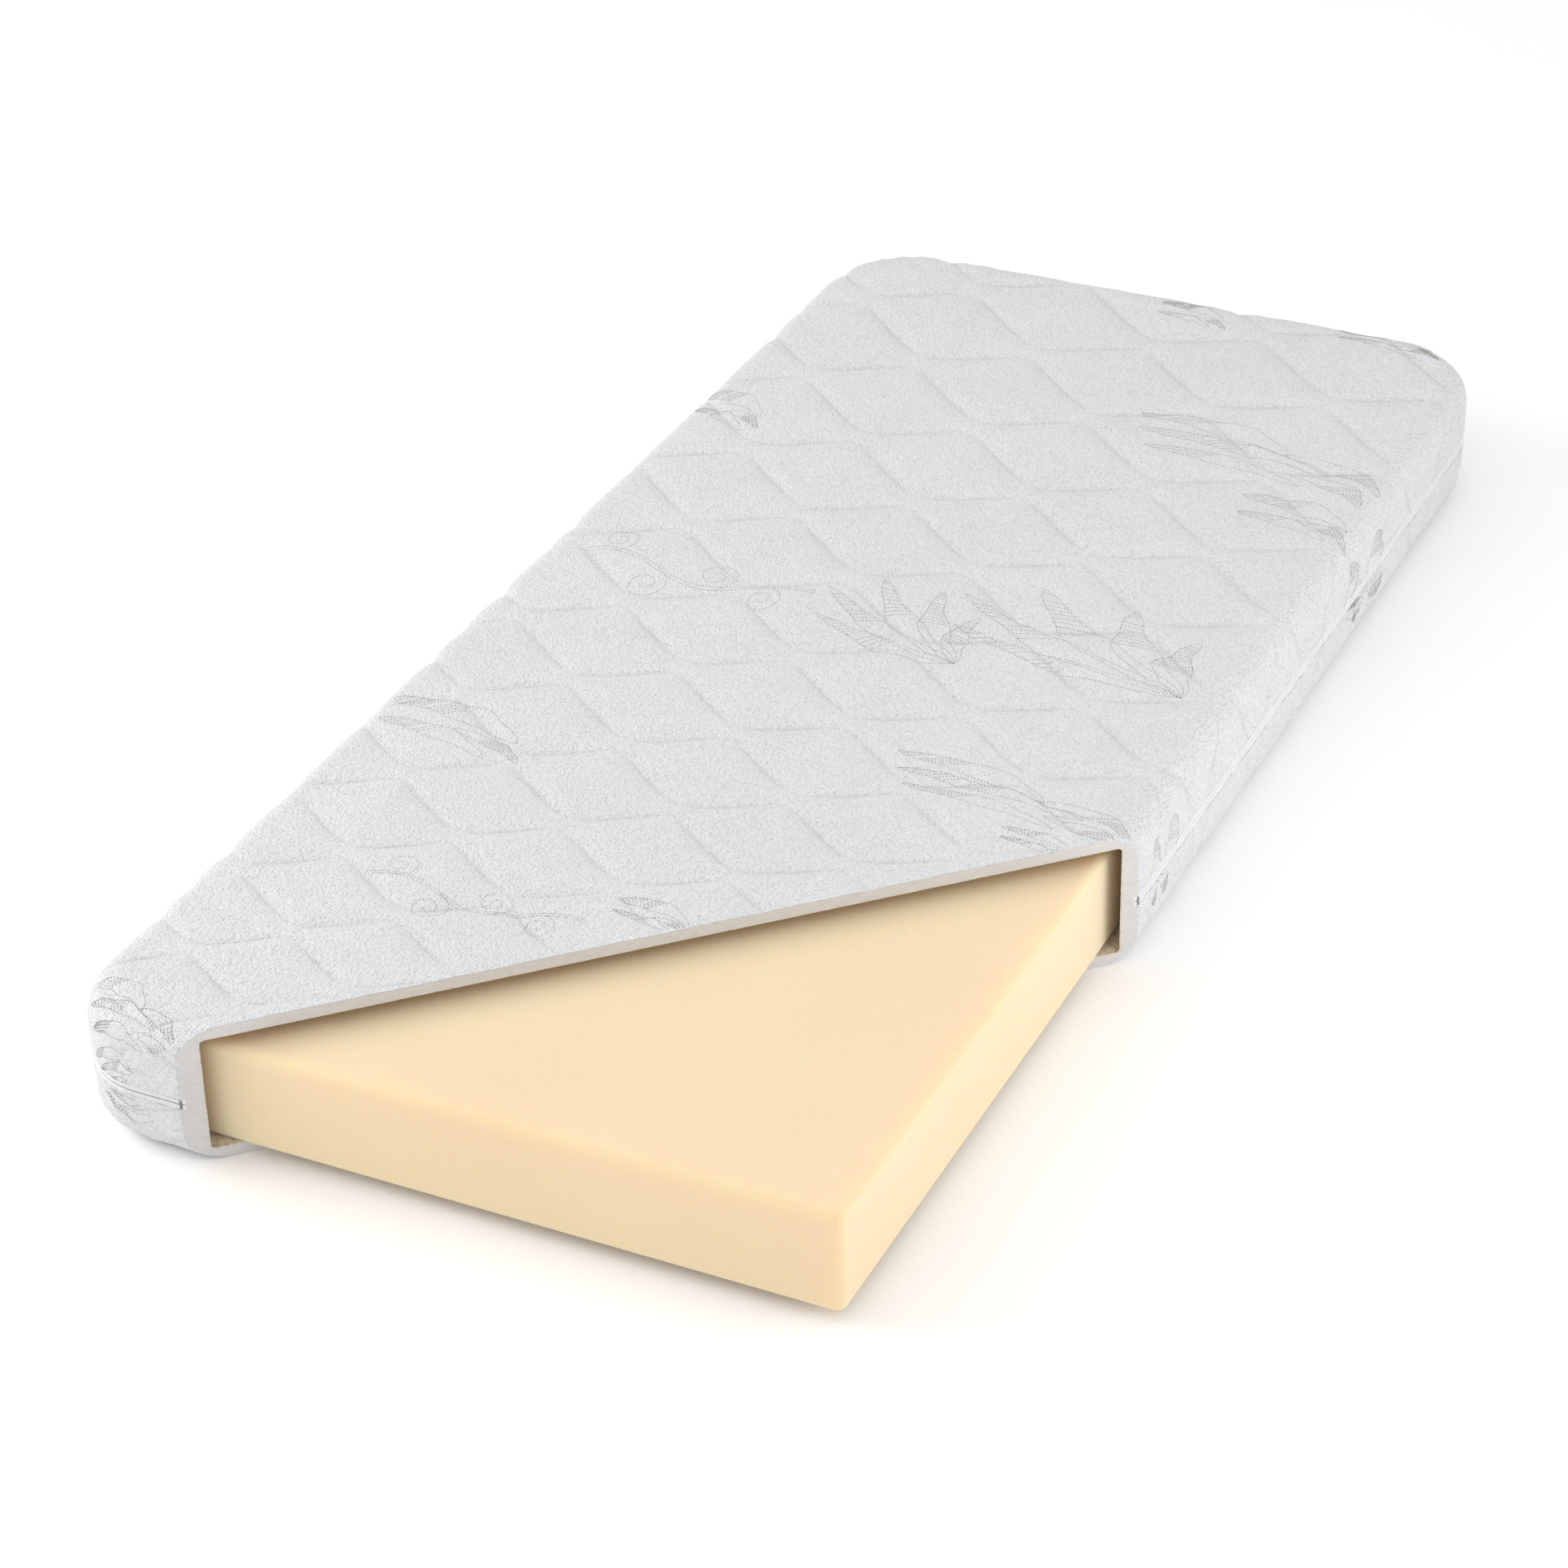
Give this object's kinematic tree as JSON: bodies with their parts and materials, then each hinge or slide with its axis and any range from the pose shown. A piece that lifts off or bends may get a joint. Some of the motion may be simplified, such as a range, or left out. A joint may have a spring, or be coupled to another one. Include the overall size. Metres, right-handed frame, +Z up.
{
  "type": "memory foam mattress",
  "caption": "Single-bed memory foam mattress in a quilted two-part zip cover, with one bottom corner of the cover cut away to show the foam core and the quilt layers.",
  "frame": {"origin": "middle of the underside, on the surface the mattress lies on", "axes": "+X along the length, towards the end with no cutaway; +Y across the width, towards the long side with no cutaway; +Z up"},
  "size_m": [2, 0.9036, 0.163],
  "materials": {
    "ticking": "white knitted jacquard, quilted, soft sheen",
    "wadding": "needled fibre wadding, matt",
    "lining": "non-woven backing, matt",
    "tape": "woven polyester zip tape",
    "coil": "moulded polyester coil",
    "stop": "moulded",
    "slider_metal": "die-cast zinc, plated",
    "foam": "cream polyurethane foam, matt, soft"
  },
  "bodies": {
    "lower_cover": {"lower_ticking": "ticking", "lower_wadding": "wadding", "lower_lining": "lining", "lower_zip_tape": "tape", "lower_zip_coil_slider_run": "coil", "lower_zip_coil_far_run": "coil", "lower_zip_top_stop": "stop", "zip_bottom_stop": "stop"},
    "upper_cover": {"upper_ticking": "ticking", "upper_wadding": "wadding", "upper_lining": "lining", "upper_zip_tape": "tape", "upper_zip_coil_slider_run": "coil", "upper_zip_coil_far_run": "coil", "upper_zip_top_stop": "stop"},
    "foam": {"foam_core": "foam"},
    "slider": {"zip_slider": "slider_metal"},
    "pull_tab": {"zip_pull_tab": "slider_metal"}
  },
  "joints": [
    {"name": "cover_lift", "type": "slide", "parent": "lower_cover", "child": "upper_cover", "axis": [0, 0, 1], "range_m": [0, 0.3]},
    {"name": "core_lift", "type": "slide", "parent": "lower_cover", "child": "foam", "axis": [0, 0, 1], "range_m": [0, 0.15]},
    {"name": "zip_travel", "type": "slide", "parent": "lower_cover", "child": "slider", "axis": [-1, 0, 0], "range_m": [0, 1.6]},
    {"name": "tab_hinge", "type": "hinge", "parent": "slider", "child": "pull_tab", "pos_m": [0.825, 0.45145, 0.076], "axis": [0, 0, -1], "range_deg": [0, 180]}
  ],
  "couplings": [
    {"joint": "core_lift", "follows": "cover_lift", "ratio": 0.5}
  ]
}
